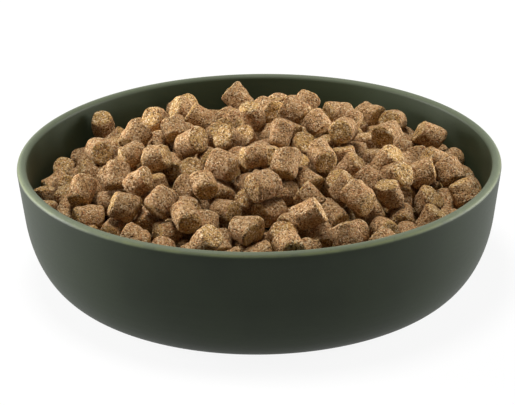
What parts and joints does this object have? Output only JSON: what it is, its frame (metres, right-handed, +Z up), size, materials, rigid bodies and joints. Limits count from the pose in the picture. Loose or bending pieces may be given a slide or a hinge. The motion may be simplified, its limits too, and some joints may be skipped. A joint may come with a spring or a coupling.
{
  "type": "bowl of dry pet food",
  "caption": "Round stoneware feeding bowl with leaning walls, rounded lip and foot ring, heaped a little above its rim with short, cylindrical dry food pellets.",
  "frame": {"origin": "middle of the foot ring, on the surface that the bowl stands on", "axes": "+Z up through the bowl's mouth; -Y towards the side that the picture was taken from"},
  "size_m": [0.2, 0.2, 0.0673],
  "materials": {
    "glaze": "satin",
    "crumb": "matte"
  },
  "bodies": {
    "root": {"bowl": "glaze", "kibble_bed": "crumb", "pellet_01": "crumb", "pellet_02": "crumb", "pellet_03": "crumb", "pellet_04": "crumb", "pellet_05": "crumb", "pellet_06": "crumb", "pellet_07": "crumb", "pellet_08": "crumb", "pellet_09": "crumb", "pellet_10": "crumb", "pellet_11": "crumb", "pellet_12": "crumb", "pellet_13": "crumb", "pellet_14": "crumb", "pellet_15": "crumb", "pellet_16": "crumb", "pellet_17": "crumb", "pellet_18": "crumb", "pellet_19": "crumb", "pellet_20": "crumb", "pellet_21": "crumb", "pellet_22": "crumb", "pellet_23": "crumb", "pellet_24": "crumb", "pellet_25": "crumb", "pellet_26": "crumb", "pellet_27": "crumb", "pellet_28": "crumb", "pellet_29": "crumb", "pellet_30": "crumb", "pellet_31": "crumb", "pellet_32": "crumb", "pellet_33": "crumb", "pellet_34": "crumb", "pellet_35": "crumb", "pellet_36": "crumb", "pellet_37": "crumb", "pellet_38": "crumb", "pellet_39": "crumb", "pellet_40": "crumb", "pellet_41": "crumb", "pellet_42": "crumb", "pellet_43": "crumb", "pellet_44": "crumb", "pellet_45": "crumb", "pellet_46": "crumb", "pellet_47": "crumb", "pellet_48": "crumb", "pellet_49": "crumb", "pellet_50": "crumb", "pellet_51": "crumb", "pellet_52": "crumb", "pellet_53": "crumb", "pellet_54": "crumb", "pellet_55": "crumb", "pellet_56": "crumb", "pellet_57": "crumb", "pellet_58": "crumb"}
  },
  "joints": []
}
